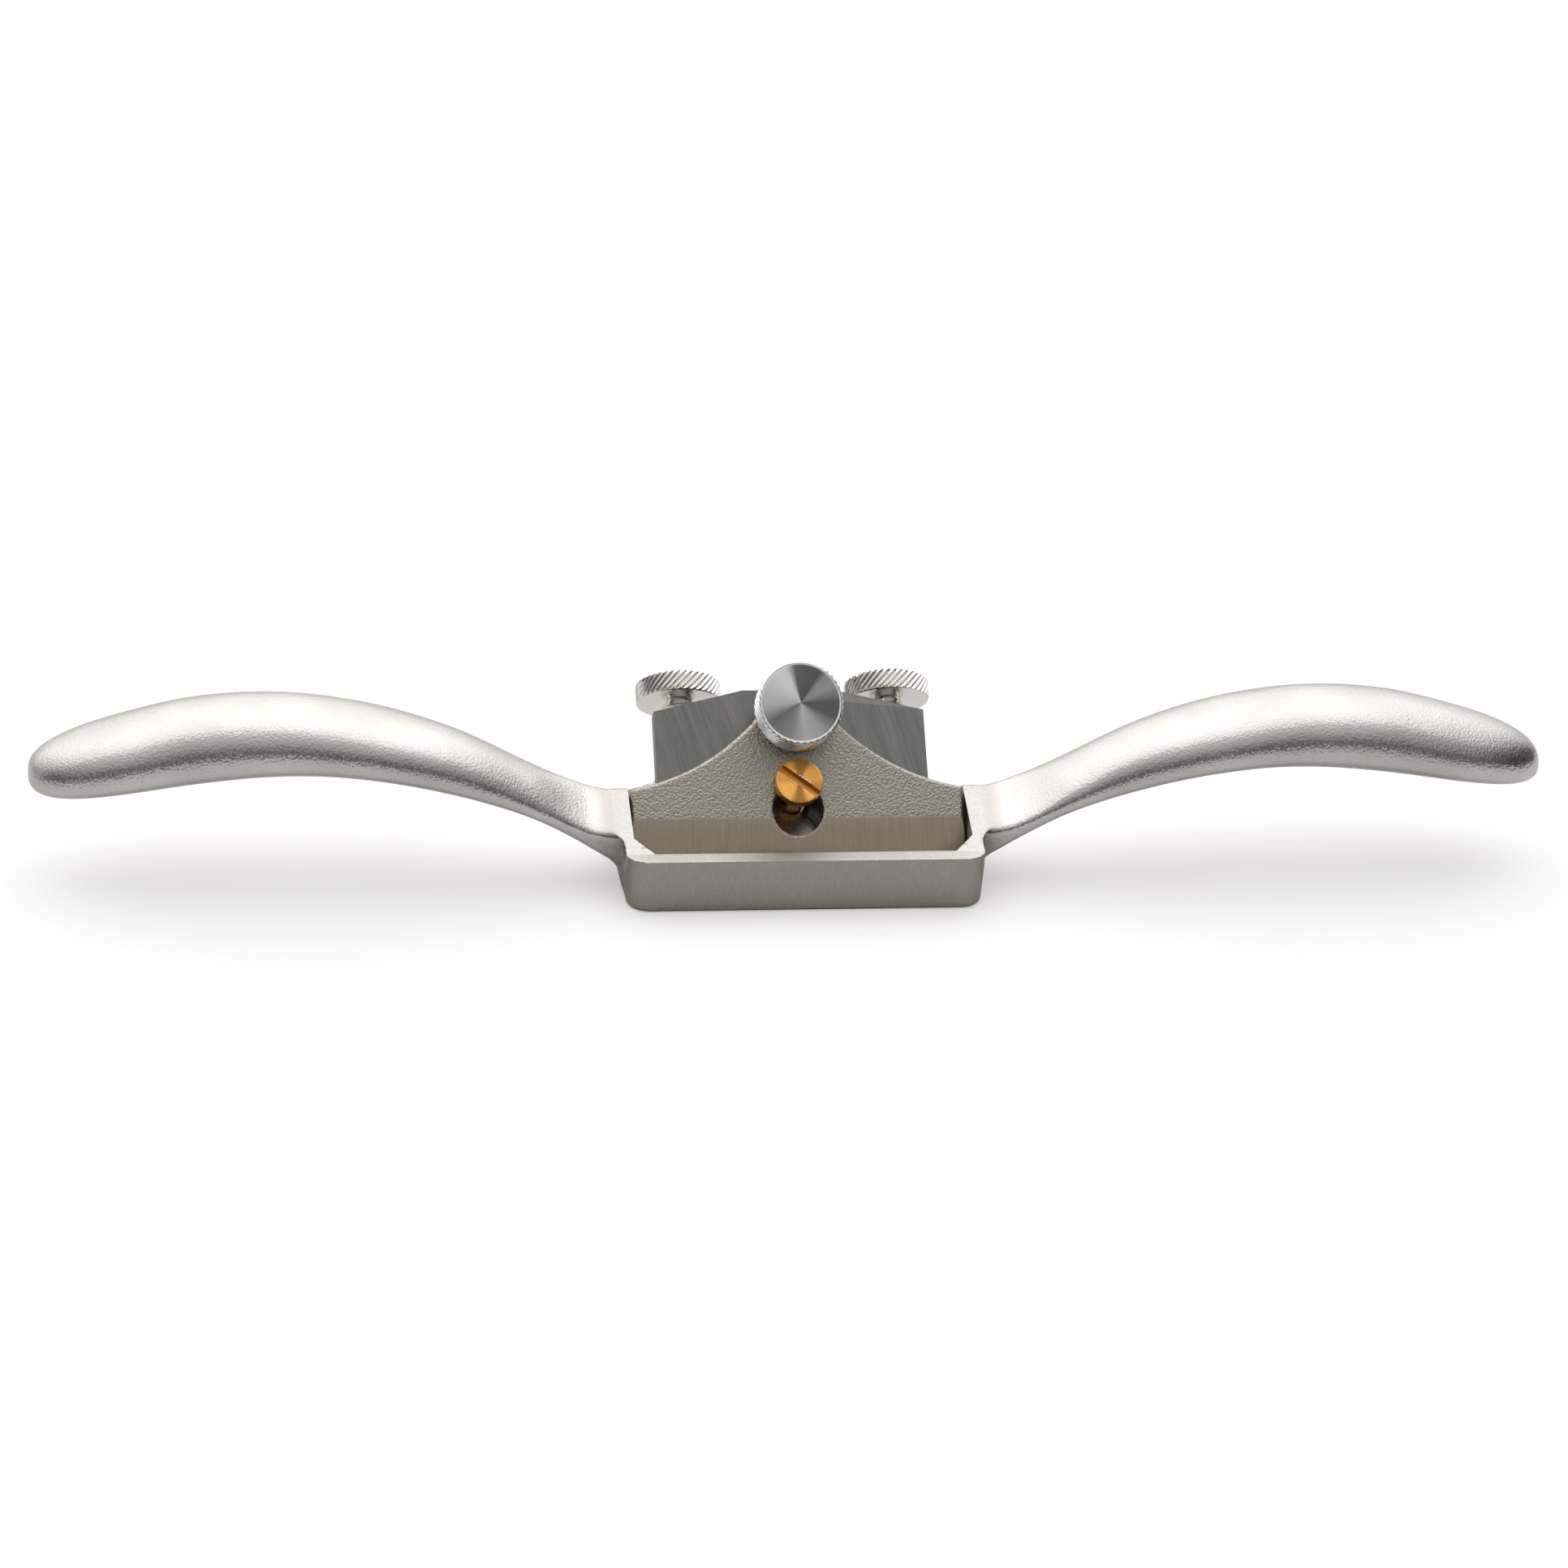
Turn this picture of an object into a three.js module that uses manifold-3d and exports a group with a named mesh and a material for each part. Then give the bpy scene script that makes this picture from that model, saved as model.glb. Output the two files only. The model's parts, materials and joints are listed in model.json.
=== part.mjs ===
// A metal gull-wing spokeshave, in millimetres, +Z up.
// The toe faces -Y and the handles run along X. The sole lies on z = 0, and the
// origin is on the heel pad, under the handles' centre line.
import * as THREE from 'three';
import { mergeVertices } from 'three/addons/utils/BufferGeometryUtils.js';
import Module from 'manifold-3d';

// Driving dimensions
const GAP = 0.3; // running gap between neighbouring pieces
const SIDES = [['left', -1], ['right', 1]];

const BED_ANGLE = Math.PI / 4;
const EDGE_Y = -11.4; // the blade's front face meets the sole's plane here

const BODY_HALF_WIDTH = 33;
const TOE_FRONT_Y = -20;
const TOE_BACK_Y = -16.4;
const TOE_HEIGHT = 10.1;
const HEEL_BACK_Y = 8;
const BLOCK_BACK_Y = 11;
const RIM_SLOPE = (17.8 * Math.PI) / 180; // the rim climbs from the toe to the handles
const RIM_PEAK_Y = -1.5;
// Heel profile behind the rim, as [y, z] points from its foot to the rim.
const HEEL_PROFILE = [[HEEL_BACK_Y, 5.3], [10, 7.8], [8, 11.4], [4, 14]];
const FRONT_CORNER_RADIUS = 4.2;
const BACK_CORNER_RADIUS = 8;
const SOLE_EDGE_RADIUS = 0.9;

const WINDOW_HALF_WIDTH = 31.3;
const WINDOW_CHAMFER_X = 3.5;
const WINDOW_CHAMFER_Y = 4;

const BLADE_WIDTH = 50.8;
const BLADE_THICKNESS = 3.2;
const BLADE_EDGE_T = 0.3; // drawn back just inside the sole
const BLADE_SHOULDER_T = 35.5;
const BLADE_TOP_T = 39.6;
const BLADE_TOP_HALF_WIDTH = 8.5;
const BEVEL_ANGLE = Math.PI / 6;

const SLAB_THICKNESS = 6.5; // of the bed behind the blade
const SLAB_TOP_T = 27;
const SLAB_TOP_HALF_WIDTH = 16.8;
const RAIL_TOP_T = 22;
const RAIL_END_T = 19.8;
const RAIL_H = -0.5; // the rails beside the blade stop short of the cap

const BLADE_SLOT = [11.65, 20.35]; // t of its round and of its far end
const BLADE_SLOT_RADIUS = 2.6;
const FLANGE_GROOVE_HALF_WIDTH = 4.2;

const SCREW_T = 18.65;
const SCREW_RADIUS = 2.2;
const SCREW_HEAD_RADIUS = 4.35;
const SCREW_HEAD_BOTTOM_H = 5.5;
const SCREW_HEAD_TOP_H = 7.7;
const SCREW_SLOT_ANGLE = (-38 * Math.PI) / 180;
const SCREW_SLOT_WIDTH = 1.5;
const SCREW_SLOT_DEPTH = 1.1;

const CAP_HALF_WIDTH = 31;
const CAP_SHOULDER_T = 18.6;
const CAP_SHOULDER_RADIUS = 0.9;
const CAP_BELL_BEND = [17.2, 21.3]; // x and t that the sides of the bell curve towards
const CAP_TILT = (7.9 * Math.PI) / 180; // of the cap's face from the blade
const CAP_KNEE = [12.9, 3.75]; // t and h where the ground nose meets the cast face
const CAP_NOSE_T = 3.4;
const CAP_THICKNESS = 3.9;
const CAP_UNDERSIDE_T = [14, 17]; // where the flat underside ends and the hollow one starts
const KEYHOLE_RADIUS = 4.75;
const KEYHOLE_TRAVEL = 4.2; // from the keyhole's round to its slot's end

const BOSS_RADIUS = 7.1;
const BOSS_T = 32.4;
const THUMBSCREW_T = 33.3; // where its axis meets the blade
const THUMBSCREW_RADIUS = 3;
const KNOB_RADIUS = 7.95;
const THUMBSCREW_HEAD = [9.1, 15.5]; // bottom and top of the head along its axis

const STUD_X = 19.8;
const STUD_H = -6.6;
const STUD_RADIUS = 2;
const STUD_SPAN = [17, 42.3]; // t of its two ends
const KNOB_FLANGE_T = 33;
const KNOB_FLANGE_RADIUS = 5;
const KNOB_FLANGE_THICKNESS = 1.5;
const KNOB_NECK_RADIUS = 3.1;
const KNOB_HEAD_T = 39.6;
const KNOB_HEAD_THICKNESS = 3.8;

const HANDLE_HALF_LENGTH = 140.6;
const HANDLE_ROOT_X = 29;
const HANDLE_STEPS = 40;
const HANDLE_STEP_EASE = 0.55; // how far the sections crowd towards the tip
const SECTION_POINTS = 28;
// Each property of the sections eases from its root value to its grip value between two x.
const HANDLE_CENTRE_Y = { root: -4, grip: 0, from: 34, to: 94 };
const HANDLE_DEPTH = { root: 7, grip: 11, from: 34, to: 84 };
const HANDLE_ROLL = { root: RIM_SLOPE, grip: 0, from: 31, to: 62 };
const HANDLE_POWER = { root: 4, grip: 2.4, from: 34, to: 54 }; // squarish, then nearly oval
const TIP_START_X = 114;
const TIP_POWER = 2.7;

// The crest line of a handle, as x and height of its centre.
const HANDLE_LINE = [
  [29, 8.7], [36, 10.8], [42, 13.7], [50, 17.7], [60, 21.8], [72, 25.2],
  [84, 27.2], [96, 27.9], [110, 26.9], [125, 24], [140.6, 20.4],
];
// Half thickness of a handle at x: full where it joins the cheek, thin in the waist.
const HANDLE_HALF_THICKNESS = [
  [29, 5.8], [34, 4.25], [38, 3.2], [42, 2.8], [50, 3.4], [60, 4.6], [72, 5.2],
  [84, 5.7], [96, 6.3], [110, 6.6], [125, 6.1], [140.6, 6.1],
];

const wasm = await Module();
wasm.setup();

// Solids

function toSolid(geometry) {
  const bare = geometry.clone();
  bare.deleteAttribute('normal');
  bare.deleteAttribute('uv');
  const merged = mergeVertices(bare, 1e-5);
  const corners = merged.index.array;
  const kept = [];
  for (let i = 0; i < corners.length; i += 3) {
    const [a, b, c] = corners.slice(i, i + 3);
    if (a !== b && b !== c && c !== a) kept.push(a, b, c);
  }
  return new wasm.Manifold(new wasm.Mesh({
    numProp: 3,
    vertProperties: new Float32Array(merged.attributes.position.array),
    triVerts: new Uint32Array(kept),
  }));
}

function toGeometry(solid) {
  const mesh = solid.getMesh();
  const geometry = new THREE.BufferGeometry();
  geometry.setAttribute('position', new THREE.BufferAttribute(new Float32Array(mesh.vertProperties), 3));
  geometry.setIndex(new THREE.BufferAttribute(new Uint32Array(mesh.triVerts), 1));
  geometry.computeVertexNormals();
  return geometry;
}

// A side profile, given as [y, z] points, swept from x = -halfWidth to x = halfWidth.
function sideProfile(points, halfWidth) {
  const shape = new THREE.Shape(points.map(([y, z]) => new THREE.Vector2(y, z)));
  const geometry = new THREE.ExtrudeGeometry(shape, { depth: 2 * halfWidth, bevelEnabled: false });
  const yToX = new THREE.Matrix4().makeBasis(
    new THREE.Vector3(0, 1, 0),
    new THREE.Vector3(0, 0, 1),
    new THREE.Vector3(1, 0, 0),
  );
  geometry.applyMatrix4(yToX);
  geometry.translate(-halfWidth, 0, 0);
  return geometry;
}

// A plan outline in x and y, swept from z = low to z = high.
function plate(shape, low, high, options = {}) {
  const geometry = new THREE.ExtrudeGeometry(shape, {
    depth: high - low,
    bevelEnabled: false,
    curveSegments: 12,
    ...options,
  });
  geometry.translate(0, 0, low);
  return geometry;
}

// A round bar along z, centred on x and y.
function bar(radius, low, high, x, y, segments = 32) {
  const geometry = new THREE.CylinderGeometry(radius, radius, high - low, segments);
  geometry.rotateX(Math.PI / 2);
  geometry.translate(x, y, (low + high) / 2);
  return geometry;
}

// A turned piece about z, from [radius, z] points.
function turned(points, segments = 48) {
  const geometry = new THREE.LatheGeometry(points.map(([r, z]) => new THREE.Vector2(r, z)), segments);
  geometry.rotateX(Math.PI / 2);
  return geometry;
}

function block(low, high) {
  const size = new THREE.Vector3().subVectors(high, low);
  const geometry = new THREE.BoxGeometry(size.x, size.y, size.z);
  geometry.translate((low.x + high.x) / 2, (low.y + high.y) / 2, (low.z + high.z) / 2);
  return geometry;
}

// The bed frame: x across, t (y) up the bed from the sole, h (z) forward from the blade's face.
const bedFrame = new THREE.Group();
bedFrame.position.set(0, EDGE_Y, 0);
bedFrame.rotation.x = BED_ANGLE;
bedFrame.updateMatrix();

function onBed(geometry) {
  return toSolid(geometry.applyMatrix4(bedFrame.matrix));
}

// A keyhole: a round of keyholeRadius at t, and a slot that ends around slotEnd.
function keyhole(t, slotEnd, slotRadius, low, high) {
  const round = toSolid(bar(KEYHOLE_RADIUS, low, high, 0, t, 40));
  const end = toSolid(bar(slotRadius, low, high, 0, slotEnd));
  const slot = toSolid(block(
    new THREE.Vector3(-slotRadius, Math.min(t, slotEnd), low),
    new THREE.Vector3(slotRadius, Math.max(t, slotEnd), high),
  ));
  return round.add(end).add(slot);
}

// Value at x of a smooth line through [x, value] points.
function smoothLine(points) {
  const curve = new THREE.SplineCurve(points.map(([x, value]) => new THREE.Vector2(x, value)));
  const samples = curve.getPoints(400);
  return (x) => {
    const next = Math.max(1, samples.findIndex((p) => p.x >= x));
    const a = samples[next - 1];
    const b = samples[next];
    return a.y + ((b.y - a.y) * (x - a.x)) / (b.x - a.x);
  };
}

const centreHeight = smoothLine(HANDLE_LINE);
const halfThickness = smoothLine(HANDLE_HALF_THICKNESS);

function eased(property, x) {
  const share = THREE.MathUtils.smoothstep(x, property.from, property.to);
  return THREE.MathUtils.lerp(property.root, property.grip, share);
}

// The section of a handle at x: its centre, half sizes, roll and squareness.
function handleSection(x) {
  const tip = Math.max(0, (x - TIP_START_X) / (HANDLE_HALF_LENGTH - TIP_START_X));
  const rounding = Math.max(0, 1 - tip ** TIP_POWER) ** (1 / TIP_POWER);
  return {
    y: eased(HANDLE_CENTRE_Y, x),
    z: centreHeight(x),
    depth: eased(HANDLE_DEPTH, x) * rounding,
    thickness: halfThickness(x) * rounding,
    roll: eased(HANDLE_ROLL, x),
    power: eased(HANDLE_POWER, x),
  };
}

// A handle as a closed loft of rounded sections, out along +X or -X.
function handle(side) {
  const positions = [];
  const triangles = [];
  const span = HANDLE_HALF_LENGTH - HANDLE_ROOT_X;
  for (let i = 0; i < HANDLE_STEPS; i += 1) {
    const share = i / (HANDLE_STEPS - 1);
    const along = THREE.MathUtils.lerp(share, Math.sin((Math.PI / 2) * share), HANDLE_STEP_EASE);
    const x = HANDLE_ROOT_X + span * Math.min(along, 1 - 1 / 1200);
    const section = handleSection(x);
    for (let j = 0; j < SECTION_POINTS; j += 1) {
      const angle = (2 * Math.PI * j) / SECTION_POINTS;
      const c = Math.cos(angle);
      const s = Math.sin(angle);
      const u = section.depth * Math.sign(c) * Math.abs(c) ** (2 / section.power);
      const v = section.thickness * Math.sign(s) * Math.abs(s) ** (2 / section.power);
      const y = section.y + u * Math.cos(section.roll) - v * Math.sin(section.roll);
      const z = section.z + u * Math.sin(section.roll) + v * Math.cos(section.roll);
      positions.push(side * x, y, z);
    }
  }
  const quad = (a, b, c, d) => triangles.push(a, b, c, a, c, d);
  for (let i = 0; i + 1 < HANDLE_STEPS; i += 1) {
    for (let j = 0; j < SECTION_POINTS; j += 1) {
      const k = (j + 1) % SECTION_POINTS;
      const row = i * SECTION_POINTS;
      quad(row + j, row + k, row + SECTION_POINTS + k, row + SECTION_POINTS + j);
    }
  }
  const last = (HANDLE_STEPS - 1) * SECTION_POINTS;
  for (let j = 1; j + 1 < SECTION_POINTS; j += 1) {
    triangles.push(0, j + 1, j);
    triangles.push(last, last + j, last + j + 1);
  }
  if (side < 0) {
    triangles.reverse();
  }
  const geometry = new THREE.BufferGeometry();
  geometry.setAttribute('position', new THREE.Float32BufferAttribute(positions, 3));
  geometry.setIndex(triangles);
  return toSolid(geometry);
}

// Body casting

// The block's outline from above, with its own radius at the front and back corners.
function blockPlan(inset) {
  const halfWidth = BODY_HALF_WIDTH - inset;
  const front = TOE_FRONT_Y + inset;
  const back = BLOCK_BACK_Y;
  const frontRadius = FRONT_CORNER_RADIUS - inset;
  const backRadius = BACK_CORNER_RADIUS;
  const shape = new THREE.Shape();
  shape.moveTo(-halfWidth + frontRadius, front);
  shape.lineTo(halfWidth - frontRadius, front);
  shape.absarc(halfWidth - frontRadius, front + frontRadius, frontRadius, -Math.PI / 2, 0);
  shape.lineTo(halfWidth, back - backRadius);
  shape.absarc(halfWidth - backRadius, back - backRadius, backRadius, 0, Math.PI / 2);
  shape.lineTo(-halfWidth + backRadius, back);
  shape.absarc(-halfWidth + backRadius, back - backRadius, backRadius, Math.PI / 2, Math.PI);
  shape.lineTo(-halfWidth, front + frontRadius);
  shape.absarc(-halfWidth + frontRadius, front + frontRadius, frontRadius, Math.PI, 1.5 * Math.PI);
  return shape;
}

function rimHeight(y) {
  return TOE_HEIGHT + (y - TOE_BACK_Y) * Math.tan(RIM_SLOPE);
}

// Toe bar, cheeks and heel in one block, before the window is cut.
function frameBlock() {
  const blank = toSolid(plate(blockPlan(SOLE_EDGE_RADIUS), SOLE_EDGE_RADIUS, 30, {
    bevelEnabled: true,
    bevelThickness: SOLE_EDGE_RADIUS,
    bevelSize: SOLE_EDGE_RADIUS,
    bevelSegments: 4,
    curveSegments: 10,
  }));
  const side = toSolid(sideProfile([
    [TOE_FRONT_Y - 2, -5],
    [HEEL_BACK_Y, -5],
    ...HEEL_PROFILE,
    [RIM_PEAK_Y, rimHeight(RIM_PEAK_Y)],
    [TOE_BACK_Y, TOE_HEIGHT],
    [TOE_FRONT_Y - 2, TOE_HEIGHT],
  ], 60));
  return blank.intersect(side);
}

// The slab that carries the blade, arched across its top.
function bedSlab() {
  const arch = new THREE.Shape();
  arch.moveTo(-WINDOW_HALF_WIDTH - 1, 2);
  arch.lineTo(WINDOW_HALF_WIDTH + 1, 2);
  arch.lineTo(WINDOW_HALF_WIDTH + 1, RAIL_END_T);
  arch.lineTo(BLADE_WIDTH / 2 + GAP, RAIL_TOP_T);
  arch.quadraticCurveTo(BLADE_WIDTH / 2, SLAB_TOP_T, SLAB_TOP_HALF_WIDTH, SLAB_TOP_T);
  arch.lineTo(-SLAB_TOP_HALF_WIDTH, SLAB_TOP_T);
  arch.quadraticCurveTo(-BLADE_WIDTH / 2, SLAB_TOP_T, -BLADE_WIDTH / 2 - GAP, RAIL_TOP_T);
  arch.lineTo(-WINDOW_HALF_WIDTH - 1, RAIL_END_T);
  const back = -BLADE_THICKNESS - GAP - SLAB_THICKNESS;
  const slab = onBed(plate(arch, back, RAIL_H));
  const aboveSole = toSolid(block(new THREE.Vector3(-60, -60, 0), new THREE.Vector3(60, 60, 60)));
  return slab.intersect(aboveSole);
}

// Everything in front of the bed and inside the rim.
function throat() {
  const half = WINDOW_HALF_WIDTH;
  const plan = new THREE.Shape();
  plan.moveTo(-half + WINDOW_CHAMFER_X, TOE_BACK_Y);
  plan.lineTo(half - WINDOW_CHAMFER_X, TOE_BACK_Y);
  plan.lineTo(half, TOE_BACK_Y + WINDOW_CHAMFER_Y);
  plan.lineTo(half, 60);
  plan.lineTo(-half, 60);
  plan.lineTo(-half, TOE_BACK_Y + WINDOW_CHAMFER_Y);
  const window = toSolid(plate(plan, -5, 60));
  const farCorner = new THREE.Vector3(half + 1, 90, 90);
  const aboveRails = onBed(block(new THREE.Vector3(-half - 1, -60, RAIL_H), farCorner));
  const bladeHalf = BLADE_WIDTH / 2 + GAP;
  const bedH = -BLADE_THICKNESS - GAP;
  const bedCorner = new THREE.Vector3(bladeHalf, 90, 90);
  const aboveBed = onBed(block(new THREE.Vector3(-bladeHalf, -60, bedH), bedCorner));
  return window.intersect(aboveRails.add(aboveBed));
}

function bodyCasting() {
  let solid = frameBlock().add(handle(-1)).add(handle(1)).add(bedSlab());
  solid = solid.subtract(throat());
  solid = solid.subtract(onBed(bar(SCREW_RADIUS + GAP, -20, 0, 0, SCREW_T)));
  for (const [, side] of SIDES) {
    const hole = new THREE.CylinderGeometry(STUD_RADIUS + GAP, STUD_RADIUS + GAP, 40, 24);
    hole.translate(side * STUD_X, STUD_SPAN[0] - GAP + 20, STUD_H);
    solid = solid.subtract(onBed(hole));
  }
  return toGeometry(solid);
}

// Blade

function bladeGeometry() {
  const half = BLADE_WIDTH / 2;
  const outline = new THREE.Shape();
  outline.moveTo(-half, BLADE_EDGE_T);
  outline.lineTo(half, BLADE_EDGE_T);
  outline.lineTo(half, BLADE_SHOULDER_T);
  outline.lineTo(BLADE_TOP_HALF_WIDTH, BLADE_TOP_T);
  outline.lineTo(-BLADE_TOP_HALF_WIDTH, BLADE_TOP_T);
  outline.lineTo(-half, BLADE_SHOULDER_T);
  let solid = toSolid(plate(outline, -BLADE_THICKNESS, 0));
  const bevelLength = BLADE_THICKNESS / Math.tan(BEVEL_ANGLE);
  const bevel = toSolid(sideProfile([
    [BLADE_EDGE_T - 1, 0.01],
    [BLADE_EDGE_T - 1, -BLADE_THICKNESS - 1],
    [BLADE_EDGE_T + bevelLength * (1 + 1 / BLADE_THICKNESS), -BLADE_THICKNESS - 1],
    [BLADE_EDGE_T, -0.05],
    [BLADE_EDGE_T, 0.01],
  ], half + 1));
  solid = solid.subtract(bevel);
  solid = solid.subtract(keyhole(...BLADE_SLOT, BLADE_SLOT_RADIUS, -10, 5));
  const grooveTopT = KNOB_FLANGE_T + KNOB_FLANGE_THICKNESS + GAP;
  for (const [, side] of SIDES) {
    const x = side * STUD_X;
    solid = solid.subtract(toSolid(block(
      new THREE.Vector3(x - FLANGE_GROOVE_HALF_WIDTH, KNOB_FLANGE_T - GAP, -10),
      new THREE.Vector3(x + FLANGE_GROOVE_HALF_WIDTH, grooveTopT, STUD_H + KNOB_FLANGE_RADIUS + GAP),
    )));
  }
  return toGeometry(solid);
}

// Lever cap

function capFaceHeight(t) {
  return CAP_KNEE[1] + (t - CAP_KNEE[0]) * Math.tan(CAP_TILT);
}

function capGeometry() {
  const shoulderFoot = CAP_SHOULDER_T - CAP_SHOULDER_RADIUS;
  const shoulderX = CAP_HALF_WIDTH - CAP_SHOULDER_RADIUS;
  const bossEnd = 0.1; // angle by which the boss's round runs below its centre
  const bossX = BOSS_RADIUS * Math.cos(bossEnd);
  const bossStartT = BOSS_T - BOSS_RADIUS * Math.sin(bossEnd);
  const outline = new THREE.Shape();
  outline.moveTo(CAP_HALF_WIDTH, CAP_NOSE_T);
  outline.lineTo(CAP_HALF_WIDTH, shoulderFoot);
  outline.quadraticCurveTo(CAP_HALF_WIDTH, CAP_SHOULDER_T, shoulderX, CAP_SHOULDER_T + 0.2);
  outline.quadraticCurveTo(...CAP_BELL_BEND, bossX, bossStartT);
  outline.absarc(0, BOSS_T, BOSS_RADIUS, -bossEnd, Math.PI + bossEnd);
  outline.quadraticCurveTo(-CAP_BELL_BEND[0], CAP_BELL_BEND[1], -shoulderX, CAP_SHOULDER_T + 0.2);
  outline.quadraticCurveTo(-CAP_HALF_WIDTH, CAP_SHOULDER_T, -CAP_HALF_WIDTH, shoulderFoot);
  outline.lineTo(-CAP_HALF_WIDTH, CAP_NOSE_T);
  const blank = toSolid(plate(outline, -2, 20));
  const [flatEnd, hollowStart] = CAP_UNDERSIDE_T;
  const topT = BOSS_T + BOSS_RADIUS + 2;
  const side = toSolid(sideProfile([
    [CAP_NOSE_T, GAP],
    [flatEnd, GAP],
    [hollowStart, capFaceHeight(hollowStart) - CAP_THICKNESS],
    [topT, capFaceHeight(topT) - CAP_THICKNESS],
    [topT, capFaceHeight(topT)],
    CAP_KNEE,
  ], CAP_HALF_WIDTH + 1));
  let solid = blank.intersect(side);
  solid = solid.subtract(keyhole(SCREW_T - KEYHOLE_TRAVEL, SCREW_T, SCREW_RADIUS + GAP, -5, 20));
  const hole = bar(THUMBSCREW_RADIUS + GAP, -5, 20, 0, 0);
  hole.rotateX(CAP_TILT);
  hole.translate(0, THUMBSCREW_T, 0);
  solid = solid.subtract(toSolid(hole));
  return toGeometry(solid);
}

// Turned pieces

function screwGeometry() {
  const bottom = -BLADE_THICKNESS - GAP - SLAB_THICKNESS + 0.4;
  const head = SCREW_HEAD_RADIUS;
  const blank = toSolid(turned([
    [0, bottom],
    [SCREW_RADIUS - 0.4, bottom],
    [SCREW_RADIUS, bottom + 0.4],
    [SCREW_RADIUS, SCREW_HEAD_BOTTOM_H],
    [head - 0.1, SCREW_HEAD_BOTTOM_H],
    [head, SCREW_HEAD_BOTTOM_H + 0.2],
    [head, SCREW_HEAD_TOP_H - 0.35],
    [head - 0.3, SCREW_HEAD_TOP_H],
    [0, SCREW_HEAD_TOP_H],
  ]));
  const slot = block(
    new THREE.Vector3(-head - 1, -SCREW_SLOT_WIDTH / 2, SCREW_HEAD_TOP_H - SCREW_SLOT_DEPTH),
    new THREE.Vector3(head + 1, SCREW_SLOT_WIDTH / 2, SCREW_HEAD_TOP_H + 1),
  );
  slot.rotateZ(SCREW_SLOT_ANGLE);
  return toGeometry(blank.subtract(toSolid(slot)));
}

function thumbscrewGeometry() {
  const [bottom, top] = THUMBSCREW_HEAD;
  return turned([
    [0, GAP + 0.1],
    [THUMBSCREW_RADIUS - 0.8, GAP + 0.1],
    [THUMBSCREW_RADIUS, GAP + 1],
    [THUMBSCREW_RADIUS, bottom],
    [KNOB_RADIUS - 0.5, bottom],
    [KNOB_RADIUS, bottom + 0.5],
    [KNOB_RADIUS, top - 0.5],
    [KNOB_RADIUS - 0.5, top],
    [0, top],
  ]);
}

// An adjuster knob, with z = 0 at the foot of the flange that moves the blade.
function knobGeometry() {
  const bore = STUD_RADIUS + GAP;
  const head = KNOB_HEAD_T - KNOB_FLANGE_T;
  const top = head + KNOB_HEAD_THICKNESS;
  return turned([
    [bore, 0],
    [KNOB_FLANGE_RADIUS, 0],
    [KNOB_FLANGE_RADIUS, KNOB_FLANGE_THICKNESS],
    [KNOB_NECK_RADIUS, KNOB_FLANGE_THICKNESS],
    [KNOB_NECK_RADIUS, head],
    [KNOB_RADIUS - 0.4, head],
    [KNOB_RADIUS, head + 0.4],
    [KNOB_RADIUS, top - 0.4],
    [KNOB_RADIUS - 0.4, top],
    [bore, top],
    [bore, 0],
  ]);
}

function studGeometry() {
  const length = STUD_SPAN[1] - STUD_SPAN[0];
  return turned([
    [0, 0],
    [STUD_RADIUS - 0.4, 0],
    [STUD_RADIUS, 0.4],
    [STUD_RADIUS, length - 0.4],
    [STUD_RADIUS - 0.4, length],
    [0, length],
  ], 24);
}

// Materials and assembly

const steelCasting = new THREE.MeshStandardMaterial({ color: 0xa8a6a2, roughness: 0.45, metalness: 1 });
const groundSteel = new THREE.MeshStandardMaterial({ color: 0x6d7074, roughness: 0.35, metalness: 1 });
const capCasting = new THREE.MeshStandardMaterial({ color: 0x8a887f, roughness: 0.5, metalness: 1 });
const brightSteel = new THREE.MeshStandardMaterial({ color: 0xc9cccf, roughness: 0.22, metalness: 1 });
const brass = new THREE.MeshStandardMaterial({ color: 0xc98a3a, roughness: 0.3, metalness: 1 });

function piece(name, geometry, material, parent) {
  const mesh = new THREE.Mesh(geometry, material);
  mesh.name = name;
  parent.add(mesh);
  return mesh;
}

const spokeshave = new THREE.Group();
piece('body_casting', bodyCasting(), steelCasting, spokeshave);
spokeshave.add(bedFrame);
piece('blade', bladeGeometry(), groundSteel, bedFrame);
piece('lever_cap', capGeometry(), capCasting, bedFrame);

const capScrew = piece('lever_cap_screw', screwGeometry(), brass, bedFrame);
capScrew.position.set(0, SCREW_T, 0);

const thumbscrew = piece('lever_cap_thumbscrew', thumbscrewGeometry(), brightSteel, bedFrame);
thumbscrew.position.set(0, THUMBSCREW_T, 0);
thumbscrew.rotation.x = CAP_TILT;

for (const [name, side] of SIDES) {
  const stud = piece(`${name}_adjuster_stud`, studGeometry(), brightSteel, bedFrame);
  stud.position.set(side * STUD_X, STUD_SPAN[0], STUD_H);
  stud.rotation.x = -Math.PI / 2;
  const knob = piece(`${name}_adjuster_knob`, knobGeometry(), brightSteel, bedFrame);
  knob.position.set(side * STUD_X, KNOB_FLANGE_T, STUD_H);
  knob.rotation.x = -Math.PI / 2;
}

export default spokeshave;
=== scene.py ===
"""The finished look of a metal spokeshave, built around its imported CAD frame."""
import json
import math

import bmesh
import bpy
import numpy as np
from mathutils import Matrix, Vector


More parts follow.
